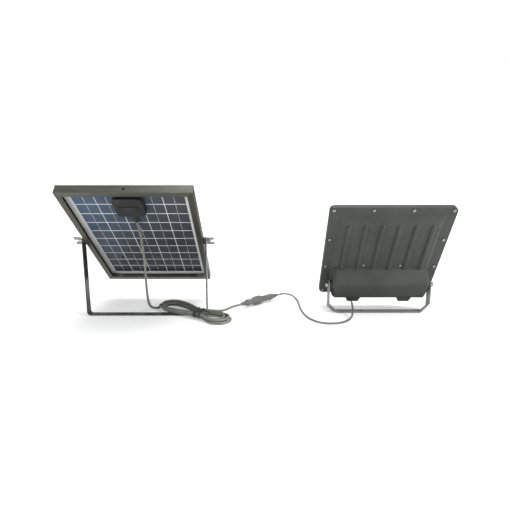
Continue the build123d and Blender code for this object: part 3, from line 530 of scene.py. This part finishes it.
# ---- Twist ties round the waist ----
RING_WIRE, LOOSE_WIRE = 0.0011, 0.0009
RING_HALF = 12
RING = [(-11.6, 4.2), (-11.9, 9), (-10.6, 13.6), (-6, 14.9), (0, 16.2), (3, 18.9), (6.4, 20.1),
        (9.4, 17.6), (11.4, 13), (11.8, 8), (11, 3.8), (5, 2.5), (-5, 2.5)]


def tie_ring(name, low_side, high_side):
    """A wire loop that starts at one place along the bundle and leans to another."""
    points = []
    for across, height in RING:
        share = (across + RING_HALF) / (2 * RING_HALF)
        along = low_side + (high_side - low_side) * share
        if height < LEAD_D / MM:
            along = (low_side + high_side) / 2
        points.append(hank_point(WAIST_ANGLE, along, across, height))
    return nurbs(name, points, RING_WIRE, cyclic=True)


def loose_wire(name, rows):
    return nurbs(name, [hank_point(WAIST_ANGLE, *row) for row in rows], LOOSE_WIRE)


tie_parts = [
    tie_ring("tie_a", -7.5, -5.5),
    tie_ring("tie_b", 9.0, 4.5),
    tie_ring("tie_c", -4.0, 8.5),
    loose_wire("tie_d", [(5, 8, 19.4), (8, 5, 20.2), (14, 1, 18.2), (24, -1, 15.5), (36, -1, 14.5),
                         (46, 1, 14.2), (52, 5, 14.2), (51, 12, 14.6), (46, 15, 15)]),
    loose_wire("tie_f", [(6, -9, 14.5), (9, -13, 15.4), (8, -17, 13.5), (11, -20, 11.5)]),
]
twist_ties = tube_piece(tie_parts, "twist_ties", "tie_black", "root")
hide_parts("hank_ties")

# ---- Connector, turned about its own axis ----
CONNECTOR_START = (0.196, 0.038, 0.0104)
CONNECTOR_ANGLE = math.radians(42)
CONNECTOR_PLACE = (Matrix.Translation(CONNECTOR_START) @ Matrix.Rotation(CONNECTOR_ANGLE, 4, "Z")
                   @ Matrix.Rotation(math.radians(90), 4, "Y"))
GROOVE_DEPTH = 0.35
NUT_RIBS, STEPS_PER_RIB = 16, 6
NUT_VALLEY, NUT_RIB_HEIGHT = 9.15, 0.85
NUT_OUTLINE = [(38, 0.86), (38.6, 0.93), (40, 0.99), (55.8, 0.99), (57.4, 0.93), (58, 0.86)]


def turned(name, profile, replaced, steps=48):
    """A round piece spun from its outline, given as distance along the axis and radius."""
    bm = bmesh.new()
    corners = [bm.verts.new((radius * MM, 0, along * MM)) for along, radius in profile]
    edges = [bm.edges.new(pair) for pair in zip(corners, corners[1:])]
    bmesh.ops.spin(bm, geom=corners + edges, cent=(0, 0, 0), axis=(0, 0, 1), angle=2 * math.pi,
                   steps=steps, use_merge=True)
    bmesh.ops.remove_doubles(bm, verts=bm.verts, dist=MERGE)
    bmesh.ops.recalc_face_normals(bm, faces=bm.faces)
    bmesh.ops.transform(bm, matrix=CONNECTOR_PLACE, verts=bm.verts)
    obj = piece_from_bmesh(name, bm, "nylon", "root")
    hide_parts(*replaced)
    return obj


def ribbed(start, end, first, last, count):
    """Grooves along a boot, as steps in its outline."""
    rows = []
    for i in range(count):
        share = i / count
        along = start + (end - start) * share
        width = (end - start) / count
        radius = first + (last - first) * share
        rows += [(along, radius), (along + 0.5 * width, radius),
                 (along + 0.62 * width, radius - GROOVE_DEPTH),
                 (along + 0.9 * width, radius - GROOVE_DEPTH)]
    return rows


SOCKET_OUTLINE = ([(0, 0), (0, 3.0), (0.6, 3.6)] + ribbed(1.2, 15.4, 3.7, 5.9, 5)
                  + [(16, 6.2), (16.6, 7.4), (17.2, 7.6), (20, 7.6), (20.4, 6.8), (33.6, 6.8),
                     (34, 7.8), (34.6, 8.0), (38, 8.0), (38, 0)])
PLUG_OUTLINE = ([(58, 0), (58, 7.4), (58.5, 7.8), (61, 7.8), (61.4, 6.8), (72, 6.8), (72.4, 6.5),
                 (74, 6.5), (74.4, 6.8), (84, 6.8), (85, 7.4), (92, 6.9), (94, 6.3)]
                + ribbed(94.6, 106, 5.7, 3.9, 5)
                + [(106.4, 3.2), (111.4, 3.2), (112, 2.6), (112, 0)])
socket = turned("connector_socket", SOCKET_OUTLINE, ["socket_boot", "socket_body"])
plug = turned("connector_plug", PLUG_OUTLINE, ["plug_body", "plug_boot"])


def coupling_nut():
    """A ring with rounded finger ribs."""
    bm = bmesh.new()
    rings = []
    for along, scale in NUT_OUTLINE:
        made = bmesh.ops.create_circle(bm, cap_ends=False, radius=10 * MM,
                                       segments=NUT_RIBS * STEPS_PER_RIB)
        for vert in made["verts"]:
            turn = math.atan2(vert.co.y, vert.co.x)
            wave = 0.5 + 0.5 * math.cos(NUT_RIBS * turn)
            radius = (NUT_VALLEY + NUT_RIB_HEIGHT * wave ** 0.6) * scale
            vert.co = Vector((math.cos(turn) * radius, math.sin(turn) * radius, along)) * MM
        rings.append([e for e in bm.edges if all(v in made["verts"] for v in e.verts)])
    for first, second in zip(rings, rings[1:]):
        bmesh.ops.bridge_loops(bm, edges=first + second)
    for ring in (rings[0], rings[-1]):
        bmesh.ops.contextual_create(bm, geom=ring)
    bmesh.ops.recalc_face_normals(bm, faces=bm.faces)
    bmesh.ops.transform(bm, matrix=CONNECTOR_PLACE, verts=bm.verts)
    obj = piece_from_bmesh("connector_nut", bm, "nylon", "root")
    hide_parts("coupling_nut")
    return obj


nut = coupling_nut()

# ---- Pieces with eased edges ----
EASED = [
    ("panel_rail_top", "panel_body", "frame_aluminium", 0.0004),
    ("panel_rail_bottom", "panel_body", "frame_aluminium", 0.0004),
    ("panel_rail_left", "panel_body", "frame_aluminium", 0.0004),
    ("panel_rail_right", "panel_body", "frame_aluminium", 0.0004),
    ("junction_box_base", "panel_body", "black_plastic", 0.0004),
    ("junction_box_lid", "panel_body", "black_plastic", 0.0007),
    ("panel_wing_nuts", "panel_body", "bright_steel", 0.0006),
    ("panel_bracket", "root", "black_paint", 0.0004),
    ("lamp_bracket", "root", "grey_paint", 0.0006),
    ("lamp_housing", "lamp_body", "lamp_paint", 0.0009),
    ("lamp_bezel", "lamp_body", "lamp_paint", 0.0006),
]
for node_name, body, slot, width in EASED:
    eased(node_name, body, width)


# ---- Solder beads on the cells' ribbons ----
CELL_COLUMNS, COLUMN_PITCH = 5, 0.0408
BEAD_COUNT, BEAD_RADIUS, BEAD_SEAT = 50, 0.00085, 0.0055
BEADS_LOW, BEADS_HIGH = -0.1395, 0.1395
BEAD_SHAPE = Matrix.Diagonal((1, 1.25, 0.4, 1))
BOX_BOTTOM_Y = -0.0905


def solder_beads():
    """A row of small flat beads up each column, apart from those under the junction box."""
    bm = bmesh.new()
    middle = (CELL_COLUMNS - 1) // 2
    for column in range(CELL_COLUMNS):
        x = (column - middle) * COLUMN_PITCH
        for i in range(BEAD_COUNT):
            y = blended(BEADS_LOW, BEADS_HIGH, (i + 0.5) / BEAD_COUNT)
            if column == middle and y < BOX_BOTTOM_Y:
                continue
            made = bmesh.ops.create_icosphere(bm, subdivisions=1, radius=BEAD_RADIUS)
            place = PANEL_PLACE @ Matrix.Translation((x, y, BEAD_SEAT)) @ BEAD_SHAPE
            bmesh.ops.transform(bm, matrix=place, verts=made["verts"])
    obj = piece_from_bmesh("solder_beads", bm, "tinned", "panel_body", 60.0)


solder_beads()


# ---- Floor, background and lights ----
FLOOR_SIZE, FLOOR_DROP = 30.0, 0.0004
FLOOR_GLOW = 0.3
GLOW_STARTS, GLOW_FULL = 0.7, 2.2


def floor():
    """A pale floor that fades to plain white away from the light."""
    bm = bmesh.new()
    bmesh.ops.create_grid(bm, x_segments=1, y_segments=1, size=FLOOR_SIZE)
    bmesh.ops.translate(bm, vec=(0, 0, -FLOOR_DROP), verts=bm.verts)
    data = bpy.data.meshes.new("floor")
    bm.to_mesh(data)
    bm.free()
    mat, tree, shader, coords = start_material("floor")
    colour = mixed(tree, noise(tree, coords, 3.0, 2.0), (0.86, 0.86, 0.86, 1), (0.9, 0.9, 0.9, 1))
    tree.links.new(colour, shader.inputs["Base Color"])
    shader.inputs["Roughness"].default_value = 0.7
    shader.inputs["Specular IOR Level"].default_value = 0.1
    away = wire(tree, "ShaderNodeVectorMath", {0: coords}, operation="LENGTH").outputs["Value"]
    glow = ranged(tree, away, GLOW_STARTS, GLOW_FULL, FLOOR_GLOW, 1.0)
    seen = tree.nodes.new("ShaderNodeLightPath").outputs["Is Camera Ray"]
    glow = math_node(tree, "MULTIPLY", glow, seen)
    shader.inputs["Emission Color"].default_value = (1, 1, 1, 1)
    tree.links.new(glow, shader.inputs["Emission Strength"])
    data.materials.append(mat)
    obj = bpy.data.objects.new("floor", data)
    bpy.context.scene.collection.objects.link(obj)


def area_light(name, place, target, size, power):
    data = bpy.data.lights.new(name, "AREA")
    data.shape = "RECTANGLE"
    data.size, data.size_y = size
    data.energy = power
    obj = bpy.data.objects.new(name, data)
    obj.location = place
    direction = Vector(target) - Vector(place)
    obj.rotation_euler = direction.to_track_quat("-Z", "Y").to_euler()
    bpy.context.scene.collection.objects.link(obj)


def world(strength):
    """A white surround that lights the object more softly than it looks."""
    made = bpy.data.worlds.new("world")
    made.use_nodes = True
    back = made.node_tree.nodes["Background"]
    back.inputs["Color"].default_value = (1, 1, 1, 1)
    seen = made.node_tree.nodes.new("ShaderNodeLightPath").outputs["Is Camera Ray"]
    level = ranged(made.node_tree, seen, to_low=strength)
    made.node_tree.links.new(level, back.inputs["Strength"])
    bpy.context.scene.world = made


floor()
world(0.44)
area_light("overhead", (0.3, 0.1, 1.7), (0.25, 0.05, 0.1), (1.4, 1.0), 24)
area_light("front_left", (-0.9, -1.3, 0.5), (0.1, 0, 0.15), (0.8, 0.8), 7)
area_light("right_side", (1.5, -0.6, 0.9), (0.45, 0, 0.12), (0.6, 0.6), 14)
bpy.context.scene.view_settings.view_transform = "Standard"
